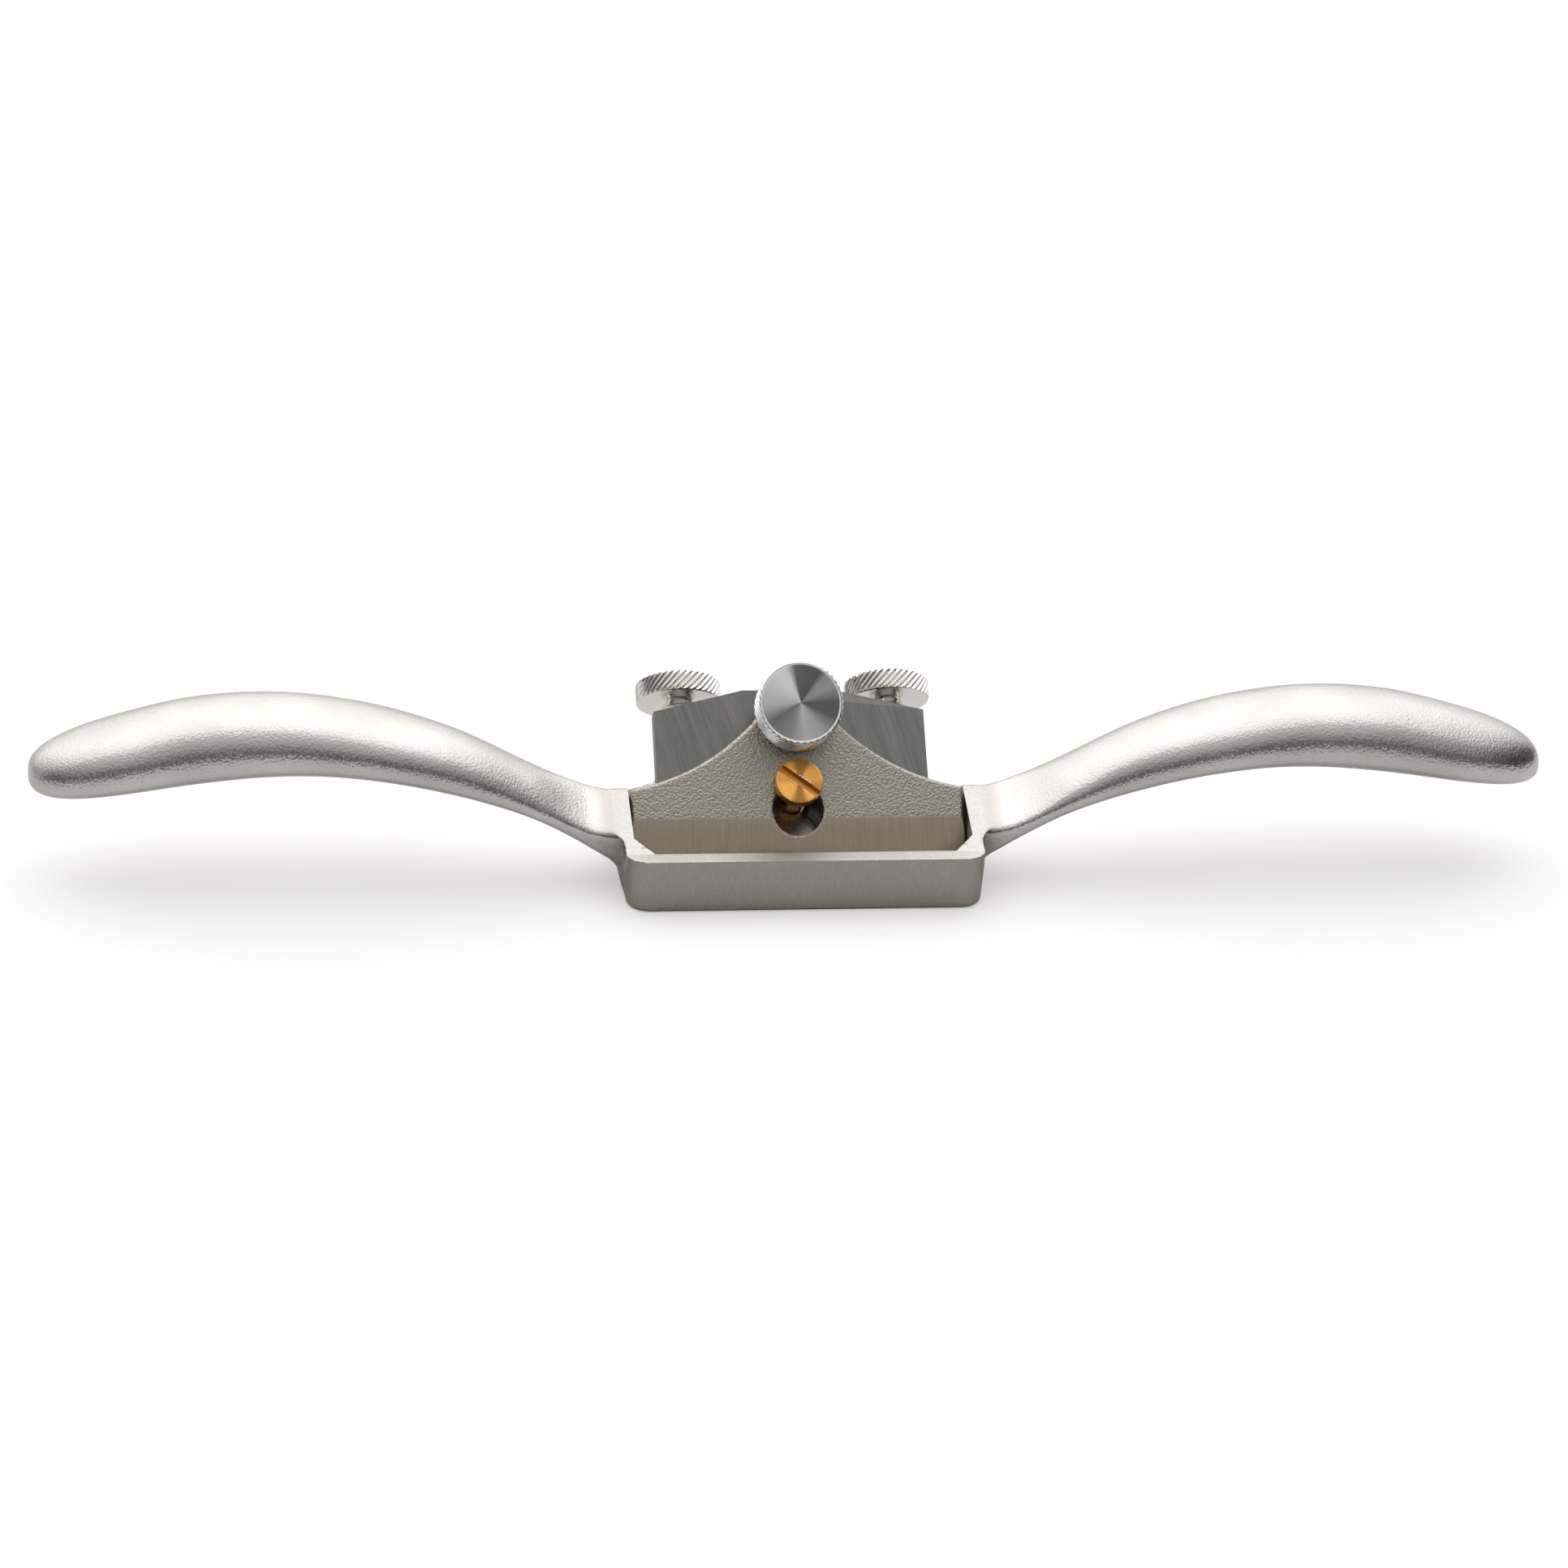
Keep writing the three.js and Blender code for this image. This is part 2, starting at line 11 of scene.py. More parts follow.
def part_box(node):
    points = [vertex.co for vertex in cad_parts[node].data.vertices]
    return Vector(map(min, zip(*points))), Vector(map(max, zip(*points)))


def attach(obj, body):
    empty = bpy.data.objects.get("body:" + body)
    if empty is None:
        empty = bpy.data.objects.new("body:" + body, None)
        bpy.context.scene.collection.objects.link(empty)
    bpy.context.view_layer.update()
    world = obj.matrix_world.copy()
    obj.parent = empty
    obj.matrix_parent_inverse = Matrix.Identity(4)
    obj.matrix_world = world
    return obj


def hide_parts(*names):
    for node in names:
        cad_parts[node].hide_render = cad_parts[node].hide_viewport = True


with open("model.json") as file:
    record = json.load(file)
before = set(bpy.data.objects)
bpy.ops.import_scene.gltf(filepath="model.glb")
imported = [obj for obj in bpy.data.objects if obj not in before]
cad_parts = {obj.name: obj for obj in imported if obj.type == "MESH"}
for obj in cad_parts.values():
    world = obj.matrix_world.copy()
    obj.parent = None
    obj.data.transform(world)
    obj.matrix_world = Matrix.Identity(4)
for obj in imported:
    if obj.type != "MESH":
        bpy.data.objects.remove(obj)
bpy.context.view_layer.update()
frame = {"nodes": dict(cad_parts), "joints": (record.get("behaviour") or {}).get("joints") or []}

# Sizes are in millimetres until a mesh is made. x runs along the handles, y from
# the toe to the heel and z up. On the bed, t runs up the blade and h forward from it.
MM = 0.001
body_low, body_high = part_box("body_casting")
HALF_LENGTH = body_high.x / MM
TOE_FRONT = body_low.y / MM
BED_ANGLE = math.radians(45)
BED_FOOT = -11.4  # y where the blade's face meets the sole

TOE_BACK = -16.4
TOE_HEIGHT = 10.1
HEEL_BACK = 8.0
HEEL_PROFILE = [(-1.5, 14.9), (4, 14), (8, 11.4), (10, 7.8), (8, 5.3)]  # y and z, down to under the lip
HEEL_ROUNDING = 3
LIP_ROUNDING = 1
BLOCK_BACK = 11.0
BLOCK_HALF_WIDTH = 32.8
BLOCK_EDGE = 0.6
SIDE_DRAFT = 0.05
DRAFT_TOP = 7  # z above which the sides stand straight
FRONT_CORNER = 4.2
BACK_CORNER = 8.0
SOLE_EDGE = 0.9
RIM_SLOPE = math.radians(17.8)
RIM_FADE_X = 33.0  # outside this the ground rim lifts off the handles
RIM_LIFT = 0.03
ROOT_FILLET = 2.8
WINDOW_HALF_WIDTH = 31.3
WINDOW_CHAMFER = (3.5, 4.0)
BED_HALF_WIDTH = 25.7
BED_H = -3.5
RAIL_H = -0.5
RAIL_HALF_WIDTH = 32.3
RAIL_FALL = 1 / 3  # how fast the rails' tops fall outwards
SLAB_BACK_H = -10.0
SLAB_TOP_HALF_WIDTH = 16.8
SLAB_SHOULDER_T = 22
SLAB_CORNER_HEIGHT = 5
SLAB_EDGE = 0.6
SLAB_FILLET = 1.2
SCREW_T = 18.65
SCREW_HOLE_RADIUS = 2.5
STUD_X = 19.8
STUD_H = -6.6
STUD_RADIUS = 2
STUD_FOOT_T = 17
STUD_LENGTH = 25.3
STUD_HOLE_RADIUS = 2.3
STUD_HOLE_T = 16.7

# What changes along a handle, as four numbers: its value at the root and in the grip, and the x where
# the change starts and ends.
HANDLE_CENTRE_Y = (-4, 0, 34, 94)
HANDLE_DEPTH = (7, 11, 34, 84)
HANDLE_ROLL = (RIM_SLOPE, 0, 31, 62)
HANDLE_POWER = (4, 2.3, 34, 50)  # squarish at the root, nearly oval in the grip
HANDLE_CROWN = (0, 0.42, 34, 60)  # how far the widest line lies below the middle of the thickness
RIM_EDGE = (0.25, 1.5, 34, 40)  # the rounding of the ground rim's edge
TIP_START = 114.0
TIP_POWER = 2.7
HANDLE_ROOT = 30.0  # x, inside the block, where the handles start
HANDLE_LINE = [
    (29, 8.7), (36, 10.8), (42, 13.7), (50, 17.7), (60, 21.8), (72, 25.2),
    (84, 27.2), (96, 27.9), (110, 26.9), (125, 24), (140.6, 20.4),
]
HANDLE_HALF_THICKNESS = [
    (29, 5.8), (34, 4.25), (38, 3.2), (42, 2.8), (50, 3.4), (60, 4.6), (72, 5.2),
    (84, 5.7), (96, 6.3), (110, 6.6), (125, 6.1), (140.6, 6.1),
]

CAP_HALF_WIDTH = 31.0
CAP_TILT = math.radians(7.9)
CAP_KNEE = (12.9, 3.75)
CAP_NOSE = (3.4, 0.3)
CAP_THICKNESS = 3.9
CAP_BELL = [(30.1, 18.8), (17.2, 21.3), (7.6, 31.2)]  # x and t of a quadratic curve
CAP_BELL_REACH = 32  # x up to which the curve is followed
CAP_SIDE_EDGE = 0.9
CAP_FACE_EDGE = 0.8
BOSS_T = 32.4
BOSS_RADIUS = 7.1
BOSS_FILLET = 1.2
KEYHOLE_RADIUS = 4.75
KEYHOLE_SLOT_RADIUS = 2.5
KEYHOLE_TRAVEL = 4.2
HOLE_EDGE = 0.2
THUMBSCREW_T = 33.3
THUMBSCREW_HOLE_RADIUS = 3.3
THUMBSCREW_HEAD = (9.1, 15.5)  # height of the head's two faces along its axis

SCREW_HEAD = (5.5, 7.7)  # height of the head's two faces along its axis
SCREW_HEAD_RADIUS = 4.35
SCREW_RADIUS = 2.2
SCREW_EDGE = 0.2
SCREW_FILLET = 0.15
SCREW_FOOT = -9.6
SCREW_THREAD = (3.4, 4.2)  # depths where the thread starts and where it is full
SCREW_THREAD_DEPTH = 0.25
SCREW_SLOT = (1.5, 1.1)  # width and depth
SCREW_SLOT_ANGLE = math.radians(-38)
BURR_HEIGHT = 0.22
BURR_WIDTH = 0.16
BURR_OFFSET = 0.12  # from the slot's wall to the burr's crest
BURR_SMALL_SIDE = 0.35

KNOB_RADIUS = 7.95
KNOB_THICKNESS = 3.8
KNURL_RIDGES = 39
KNURL_DEPTH = 0.34
KNURL_TWIST = 1 / KNOB_RADIUS  # radians for each millimetre of height, so the ridges lean at 45 degrees
COLUMNS_PER_RIDGE = 8
THREAD_PITCH = 0.8
THREAD_DEPTH = 0.3

# Degrees around a turned face, and the brightness of the painted highlight and painted shade there
STEEL_FACE_PAINTED_HIGHLIGHTS = [
    (0, 0.16), (28, 0.45), (46, 0.4), (57, 0.16), (98, 0.2), (112, 1), (128, 1),
    (185, 0.65), (212, 0.22), (250, 0.35), (275, 0.62), (305, 0.5), (335, 0.17), (360, 0.16),
]
BRASS_FACE_PAINTED_HIGHLIGHTS = [
    (0, 0.85), (20, 0.5), (45, 0.8), (90, 0.85), (105, 0.45), (135, 0.42), (155, 0.95),
    (215, 0.75), (235, 1), (275, 0.95), (295, 0.4), (318, 0.42), (335, 1), (360, 0.85),
]

BED = Matrix.Translation((0, BED_FOOT * MM, 0)) @ Matrix.Rotation(BED_ANGLE, 4, "X")


# Camera

CAMERA_YAW = math.radians(8.99)
CAMERA_PITCH = math.radians(24.48)
CAMERA_ROLL = math.radians(3.17)
CAMERA_DISTANCE = 970.1
CAMERA_LENS = 120.6
CAMERA_TARGET = Vector((-2.31, -0.09, 16.37))


def make_camera():
    data = bpy.data.cameras.new("camera")
    data.lens = CAMERA_LENS
    data.sensor_width = 36
    data.clip_start = 0.05
    data.clip_end = 50
    camera = bpy.data.objects.new("camera", data)
    bpy.context.scene.collection.objects.link(camera)
    turn = Matrix.Rotation(-CAMERA_YAW, 4, "Z") @ Matrix.Rotation(math.pi / 2 - CAMERA_PITCH, 4, "X")
    turn = turn @ Matrix.Rotation(CAMERA_ROLL, 4, "Z")
    back = turn.to_3x3() @ Vector((0, 0, CAMERA_DISTANCE))
    camera.matrix_world = Matrix.Translation((CAMERA_TARGET + back) * MM) @ turn
    bpy.context.scene.camera = camera


# Signed distances, negative inside

def smooth(x, low, high):
    share = np.clip((x - low) / (high - low), 0, 1)
    return share * share * (3 - 2 * share)


def eased(change, x):
    """A value that changes from its root value to its grip value over a stretch of x."""
    root, grip, start, end = change
    return root + (grip - root) * smooth(x, start, end)


def meet(a, b, radius):
    """The overlap of two shapes, with its edge rounded."""
    inner = np.minimum(-radius, np.maximum(a, b))
    return inner + np.hypot(np.maximum(radius + a, 0), np.maximum(radius + b, 0))


def join(a, b, radius):
    """Two shapes together, with a fillet in the corner between them."""
    outer = np.maximum(radius, np.minimum(a, b))
    return outer - np.hypot(np.maximum(radius - a, 0), np.maximum(radius - b, 0))


def plane(a, b, start, end):
    """Distance to the left of the line from start to end, in the plane of a and b."""
    da, db = end[0] - start[0], end[1] - start[1]
    return ((b - start[1]) * da - (a - start[0]) * db) / math.hypot(da, db)


def through(points):
    """A smooth function through (x, value) points."""
    xs, values = (np.array(column, float) for column in zip(*points))
    slopes = np.gradient(values, xs)

    def value(x):
        i = np.clip(np.searchsorted(xs, x) - 1, 0, len(xs) - 2)
        span = xs[i + 1] - xs[i]
        s = (np.clip(x, xs[0], xs[-1]) - xs[i]) / span
        near = (1 + 2 * s) * values[i] + s * span * slopes[i]
        far = (3 - 2 * s) * values[i + 1] - (1 - s) * span * slopes[i + 1]
        return (1 - s) ** 2 * near + s ** 2 * far

    return value


def on_bed(y, z):
    """t and h of a point."""
    c, s = math.cos(BED_ANGLE), math.sin(BED_ANGLE)
    return (y - BED_FOOT) * c + z * s, z * c - (y - BED_FOOT) * s


centre_height = through(HANDLE_LINE)
half_thickness = through(HANDLE_HALF_THICKNESS)


def handles(x, y, z):
    """Both handles: rolled, rounded sections along a curved centre line."""
    side = np.abs(x)
    tip = np.clip((side - TIP_START) / (HALF_LENGTH - TIP_START), 0, 1)
    rounding = np.maximum(1 - tip ** TIP_POWER, 1e-5) ** (1 / TIP_POWER)
    roll = eased(HANDLE_ROLL, side)
    across = y - eased(HANDLE_CENTRE_Y, side)
    depth = eased(HANDLE_DEPTH, side) * rounding
    thickness = half_thickness(side) * rounding
    drop = eased(HANDLE_CROWN, side) * thickness
    up = z - centre_height(side) + drop
    u = np.abs(across * np.cos(roll) + up * np.sin(roll)) / depth
    v = up * np.cos(roll) - across * np.sin(roll)
    thickness = np.where(v > 0, thickness + drop, thickness - drop)
    v = np.abs(v) / thickness
    power = eased(HANDLE_POWER, side)
    reach = np.maximum((u ** power + v ** power) ** (1 / power), 1e-6)
    lean = power - 1
    steepness = np.hypot((u / reach) ** lean / depth, (v / reach) ** lean / thickness)
    ends = np.maximum(HANDLE_ROOT - side, side - HALF_LENGTH)
    return np.maximum((reach - 1) / steepness, ends)


def block(x, y, z):
    """Toe, cheeks and heel in one, before the window is cut."""
    middle = (TOE_FRONT + BLOCK_BACK) / 2
    corner = np.where(y < middle, FRONT_CORNER, BACK_CORNER)
    across = np.abs(x) - BLOCK_HALF_WIDTH - SIDE_DRAFT * np.clip(z, 0, DRAFT_TOP) + corner
    along = np.abs(y - middle) - (BLOCK_BACK - TOE_FRONT) / 2 + corner
    plan = np.hypot(np.maximum(across, 0), np.maximum(along, 0)) - corner
    plan = plan + np.minimum(np.maximum(across, along), 0)
    solid = meet(plan, -z, SOLE_EDGE)
    top, slope, drop, under = (plane(y, z, *ends) for ends in zip(HEEL_PROFILE, HEEL_PROFILE[1:]))
    crown = meet(meet(top, slope, HEEL_ROUNDING), drop, HEEL_ROUNDING)
    below_lip = np.minimum(under, y - HEEL_BACK)
    return meet(solid, meet(crown, below_lip, LIP_ROUNDING), BLOCK_EDGE)


def rim(x, y, z):
    """The ground plane along the toe's top and up the cheeks, lifting off the handles."""
    sloping = (z - TOE_HEIGHT) * math.cos(RIM_SLOPE) - (y - TOE_BACK) * math.sin(RIM_SLOPE)
    lift = RIM_LIFT * np.maximum(np.abs(x) - RIM_FADE_X, 0) ** 2
    return np.minimum(sloping, z - TOE_HEIGHT) - lift


def slab(x, t, h):
    """The bed's plate: a flat-topped arch with oval corners, and a rail on each side."""
    side = np.abs(x)
    width, height = BED_HALF_WIDTH - SLAB_TOP_HALF_WIDTH, SLAB_CORNER_HEIGHT
    u = np.maximum(side - SLAB_TOP_HALF_WIDTH, 0) / width
    v = np.maximum(t - SLAB_SHOULDER_T, 0) / height
    reach = np.maximum(np.hypot(u, v), 1e-6)
    steepness = np.maximum(np.hypot(u / width, v / height) / reach, 1 / width)
    arch = (reach - 1) / steepness
    above_rail = t - SLAB_SHOULDER_T + (side - BED_HALF_WIDTH) * RAIL_FALL
    rails = np.maximum(side - RAIL_HALF_WIDTH, above_rail / math.hypot(1, RAIL_FALL))
    middle = (RAIL_H + SLAB_BACK_H) / 2
    half = (RAIL_H - SLAB_BACK_H) / 2
    return meet(np.minimum(arch, rails), np.abs(h - middle) - half, SLAB_EDGE)


def throat(x, y, h):
    """The window, down to the bed and its rails."""
    side = np.abs(x)
    cut, rise = WINDOW_CHAMFER
    chamfer = (WINDOW_HALF_WIDTH, TOE_BACK + rise), (WINDOW_HALF_WIDTH - cut, TOE_BACK)
    corner = plane(side, y, *chamfer)
    window = np.maximum(np.maximum(side - WINDOW_HALF_WIDTH, TOE_BACK - y), corner)
    bed = np.maximum(side - BED_HALF_WIDTH, BED_H - h)
    return np.maximum(window, np.minimum(RAIL_H - h, bed))


def body(x, y, z):
    """The whole casting."""
    t, h = on_bed(y, z)
    solid = join(block(x, y, z), handles(x, y, z), ROOT_FILLET)
    solid = meet(solid, rim(x, y, z), eased(RIM_EDGE, np.abs(x)))
    solid = np.maximum(join(solid, slab(x, t, h), SLAB_FILLET), -z)
    solid = np.maximum(solid, -throat(x, y, h))
    screw_hole = np.hypot(x, t - SCREW_T) - SCREW_HOLE_RADIUS
    stud_hole = np.hypot(np.abs(x) - STUD_X, h - STUD_H) - STUD_HOLE_RADIUS
    stud_hole = np.maximum(stud_hole, STUD_HOLE_T - t)
    return np.maximum(solid, -np.minimum(screw_hole, stud_hole))


def bell_top(x):
    """t of the cap's bell outline at x, and its slope."""
    (x0, t0), (x1, t1), (x2, t2) = CAP_BELL
    a, b = x0 - 2 * x1 + x2, 2 * (x1 - x0)
    s = (-b - np.sqrt(b * b - 4 * a * (x0 - x))) / (2 * a)
    top = t0 + 2 * s * (t1 - t0) + s * s * (t0 - 2 * t1 + t2)
    slope = (2 * (t1 - t0) + 2 * s * (t0 - 2 * t1 + t2)) / (b + 2 * a * s)
    return top, slope


def cap(x, t, h):
    """The lever cap: a tilted plate in a bell outline, with a ground nose, a keyhole and a screw hole."""
    side = np.abs(x)
    top, slope = bell_top(np.minimum(side, CAP_BELL_REACH))
    bell = np.maximum((t - top) / np.hypot(1, slope), t - CAP_BELL[2][1])
    bell = join(bell, np.hypot(x, t - BOSS_T) - BOSS_RADIUS, BOSS_FILLET)
    outline = meet(bell, side - CAP_HALF_WIDTH, CAP_SIDE_EDGE)
    over = h - CAP_KNEE[1] - (t - CAP_KNEE[0]) * math.tan(CAP_TILT)
    face = over * math.cos(CAP_TILT)
    under = np.maximum(CAP_NOSE[1] - h, -face - CAP_THICKNESS)
    nose = plane(t, h, CAP_NOSE, CAP_KNEE)
    solid = meet(outline, face, CAP_FACE_EDGE)
    solid = np.maximum(np.maximum(solid, nose), np.maximum(under, CAP_NOSE[0] - t))
    round_t = SCREW_T - KEYHOLE_TRAVEL
    keyhole = np.hypot(x, t - round_t) - KEYHOLE_RADIUS
    slot = np.hypot(x, t - np.clip(t, round_t, SCREW_T)) - KEYHOLE_SLOT_RADIUS
    away = (t - THUMBSCREW_T) * math.cos(CAP_TILT) + h * math.sin(CAP_TILT)
    thumbscrew_hole = np.hypot(x, away) - THUMBSCREW_HOLE_RADIUS
    holes = np.minimum(np.minimum(keyhole, slot), thumbscrew_hole)
    return meet(solid, -holes, HOLE_EDGE)


def cap_screw(x, y, z):
    """The slotted screw, about its own axis, with its slot along x."""
    width, depth = SCREW_SLOT
    low, high = SCREW_HEAD
    around = np.hypot(x, y)
    from_middle = np.abs(z - (low + high) / 2)
    head = meet(around - SCREW_HEAD_RADIUS, from_middle - (high - low) / 2, SCREW_EDGE)
    turns = z / THREAD_PITCH - np.arctan2(y, x) / (2 * math.pi)
    groove = 2 * SCREW_THREAD_DEPTH * np.abs(turns - np.round(turns)) * smooth(-z, *SCREW_THREAD)
    shank = np.maximum(around - SCREW_RADIUS + groove, np.maximum(SCREW_FOOT - z, z - low - 0.1))
    # Patches of burr along both lips of the slot
    from_crest = np.abs(y) - width / 2 - BURR_OFFSET
    patches = np.cos(0.8 * x - 0.5 * np.sign(y)) * (0.6 + 0.4 * np.sin(9 * x))
    burr = BURR_HEIGHT * np.exp(-((from_crest / BURR_WIDTH) ** 2)) * np.maximum(patches, 0)
    burr = burr * np.where(y > 0, 1, BURR_SMALL_SIDE)
    slot = np.maximum(np.abs(y) - width / 2, high - depth - z)
    return np.maximum(join(head - burr, shank, SCREW_FILLET), -slot)


# Meshes

CROSSING_ROUNDS = 6
SLOPE_STEP = 0.004
PULL_TO_MIDDLE = 0.04  # how firmly a vertex is held to the middle of its cell's crossings
WELD_DISTANCE = 0.002


def contour(field, xs, ys, zs):
    """Vertices and quads of the surface where field is zero, keeping sharp edges (dual contouring)."""
    steps = [np.asarray(values, float) for values in (xs, ys, zs)]
    values = field(*np.meshgrid(*steps, indexing="ij", sparse=True))
    inside = values < 0
    cells = np.array(values.shape) - 1
    points, owners, flips = [], [], []
    for axis in range(3):
        ends = np.roll(np.eye(3, dtype=int), axis, axis=1)[0]
        low = inside[tuple(slice(0, -1) if e else slice(None) for e in ends)]
        high = inside[tuple(slice(1, None) if e else slice(None) for e in ends)]
        found = np.argwhere(low != high)
        others = [(axis + 1) % 3, (axis + 2) % 3]
        within = np.all((found[:, others] > 0) & (found[:, others] < cells[others]), axis=1)
        found = found[within]
        start = np.stack([steps[k][found[:, k]] for k in range(3)], axis=1)
        end = start.copy()
        end[:, axis] = steps[axis][found[:, axis] + 1]
        points.append(crossing(field, start, end))
        flips.append(low[tuple(found.T)])
        around = []
        for first, second in ((1, 1), (0, 1), (0, 0), (1, 0)):
            cell = found.copy()
            cell[:, others[0]] -= first
            cell[:, others[1]] -= second
            around.append(np.ravel_multi_index(tuple(cell.T), cells))
        owners.append(np.stack(around, axis=1))
    points = np.concatenate(points)
    owners = np.concatenate(owners)
    flips = np.concatenate(flips)
    kept, quads = np.unique(owners, return_inverse=True)
    quads = quads.reshape(owners.shape)
    vertices = settle(field, points, quads, kept, cells, steps)
    quads = np.where(flips[:, None], quads, quads[:, ::-1])
    return vertices, quads


def crossing(field, start, end):
    """Where field is zero between two sets of points."""
    low, high = field(*start.T), field(*end.T)
    for _ in range(CROSSING_ROUNDS):
        share = low / (low - high)
        point = start + share[:, None] * (end - start)
        value = field(*point.T)
        same = (value < 0) == (low < 0)
        start = np.where(same[:, None], point, start)
        low = np.where(same, value, low)
        end = np.where(same[:, None], end, point)
        high = np.where(same, high, value)
    return point


def steepest(field, points):
    """The unit direction in which field grows."""
    offsets = np.eye(3) * SLOPE_STEP
    growth = [field(*(points + offset).T) - field(*(points - offset).T) for offset in offsets]
    slope = np.stack(growth, axis=1)
    return slope / np.maximum(np.linalg.norm(slope, axis=1), 1e-12)[:, None]


def settle(field, points, quads, kept, cells, steps):
    """One vertex for each cell, where the planes through its crossings meet."""
    normals = steepest(field, points)
    flat = quads.ravel()
    count = np.bincount(flat)

    def total(values):
        return np.bincount(flat, weights=np.repeat(values, 4))

    mass = np.stack([total(points[:, k]) / count for k in range(3)], axis=1)
    square = np.empty((len(kept), 3, 3))
    for i in range(3):
        for j in range(3):
            square[:, i, j] = total(normals[:, i] * normals[:, j])
    offset = np.sum(normals * points, axis=1)
    target = np.stack([total(normals[:, k] * offset) for k in range(3)], axis=1)
    target -= np.einsum("nij,nj->ni", square, mass)
    square += np.eye(3) * (PULL_TO_MIDDLE * count)[:, None, None]
    vertices = mass + np.linalg.solve(square, target[:, :, None])[:, :, 0]
    index = np.stack(np.unravel_index(kept, cells), axis=1)
    for k in range(3):
        low, high = steps[k][index[:, k]], steps[k][index[:, k] + 1]
        vertices[:, k] = np.clip(vertices[:, k], low, high)
    return vertices


def even(low, high, step):
    """Evenly spaced grid lines that cover low to high."""
    count = math.ceil((high - low) / step)
    return low + step * np.arange(count + 1)


def mirrored(values):
    """The values and their negatives, in rising order."""
    return np.concatenate([-values[::-1], values])


def make_piece(name, vertices, quads, material, place=None, sharp=32):
    """A smooth-shaded object from vertices in millimetres, with edges sharper than an angle kept."""
    mesh = bpy.data.meshes.new(name)
    mesh.from_pydata((np.asarray(vertices) * MM).tolist(), [], np.asarray(quads).tolist())
    shape = bmesh.new()
    shape.from_mesh(mesh)
    bmesh.ops.remove_doubles(shape, verts=shape.verts, dist=WELD_DISTANCE * MM)
    shape.to_mesh(mesh)
    shape.free()
    mesh.materials.append(material)
    mesh.shade_smooth()
    mesh.set_sharp_from_angle(angle=math.radians(sharp))
    piece = bpy.data.objects.new(name, mesh)
    bpy.context.scene.collection.objects.link(piece)
    if place is not None:
        piece.matrix_world = place
    return piece


def stands_for(piece, node, body_name):
    """Puts a piece in place of a CAD node, on the node's body."""
    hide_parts(node)
    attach(piece, body_name)


def face_values(piece, name, values):
    """Stores one value on each face, for the piece's material."""
    layer = piece.data.attributes.new(name, "FLOAT", "FACE")
    layer.data.foreach_set("value", np.asarray(values, np.float32))


def face_middles(piece):
    """The middle of each face, in millimetres, and its normal."""
    faces = piece.data.polygons
    middle = np.empty(3 * len(faces), np.float32)
    normal = np.empty(3 * len(faces), np.float32)
    faces.foreach_get("center", middle)
    faces.foreach_get("normal", normal)
    return middle.reshape(-1, 3) / MM, normal.reshape(-1, 3)


def ring_quads(rings, columns, closed=False):
    """Quads between each ring of vertices and the next, and from the last to the first if closed."""
    column = np.arange(columns)
    after = (column + 1) % columns
    quads = []
    for ring in range(rings if closed else rings - 1):
        low = ring * columns
        high = (ring + 1) % rings * columns
        quads.append(np.stack([low + column, low + after, high + after, high + column], 1))
    return np.concatenate(quads)


def knurled(rows, closed=False):
    """A turned surface from (radius, height, knurl share) rows, with its ridges leaning."""
    columns = KNURL_RIDGES * COLUMNS_PER_RIDGE
    phase = np.arange(columns) / COLUMNS_PER_RIDGE
    valley = np.abs(np.cos(math.pi * phase)) ** 2.5
    vertices = []
    for radius, height, share in rows:
        angle = 2 * math.pi * phase / KNURL_RIDGES + KNURL_TWIST * height
        reach = radius - KNURL_DEPTH * share * valley
        ring = [reach * np.cos(angle), reach * np.sin(angle), np.full(columns, height)]
        vertices.append(np.stack(ring, 1))
    return np.concatenate(vertices), ring_quads(len(rows), columns, closed)


def threaded(radius, length):
    """A threaded rod with chamfered ends."""
    columns = 32
    rings_per_turn = 7
    chamfer = 0.5
    heights = even(0, length, THREAD_PITCH / rings_per_turn)
    angle = 2 * math.pi * np.arange(columns) / columns
    turns = heights[:, None] / THREAD_PITCH - angle / (2 * math.pi)
    groove = THREAD_DEPTH * (1 - 2 * np.abs(turns - np.round(turns)))
    from_end = np.minimum(heights, length - heights)[:, None]
    reach = np.minimum(radius - groove, radius - chamfer + from_end)
    reach[0], reach[-1] = 0, 0
    heights[1], heights[-2] = 0, length
    up = np.repeat(heights[:, None], columns, axis=1)
    vertices = np.stack([reach * np.cos(angle), reach * np.sin(angle), up], 2)
    return vertices.reshape(-1, 3), ring_quads(len(heights), columns)


# Materials

def add(tree, kind, inputs=None, **settings):
    """A shader node, with its settings made and its inputs set or linked."""
    node = tree.nodes.new(kind)
    for name, value in settings.items():
        setattr(node, name, value)
    for name, value in (inputs or {}).items():
        if isinstance(value, bpy.types.NodeSocket):
            tree.links.new(value, node.inputs[name])
        else:
            node.inputs[name].default_value = value
    return node


def new_material(name):
    """A metallic material, with its tree, its shader and its object coordinates in millimetres."""
    material = bpy.data.materials.new(name)
    material.use_nodes = True
    tree = material.node_tree
    shader = tree.nodes["Principled BSDF"]
    shader.inputs["Metallic"].default_value = 1
    where = add(tree, "ShaderNodeTexCoord").outputs["Object"]
    where = add(tree, "ShaderNodeVectorMath", {0: where, "Scale": 1 / MM}, operation="SCALE").outputs[0]
    return material, tree, shader, where


def stretched(tree, where, scale, rotation=(0, 0, 0)):
    """Coordinates turned, then scaled along each axis."""
    turned = add(tree, "ShaderNodeMapping", {"Vector": where, "Rotation": rotation}).outputs[0]
    return add(tree, "ShaderNodeMapping", {"Vector": turned, "Scale": scale}).outputs[0]


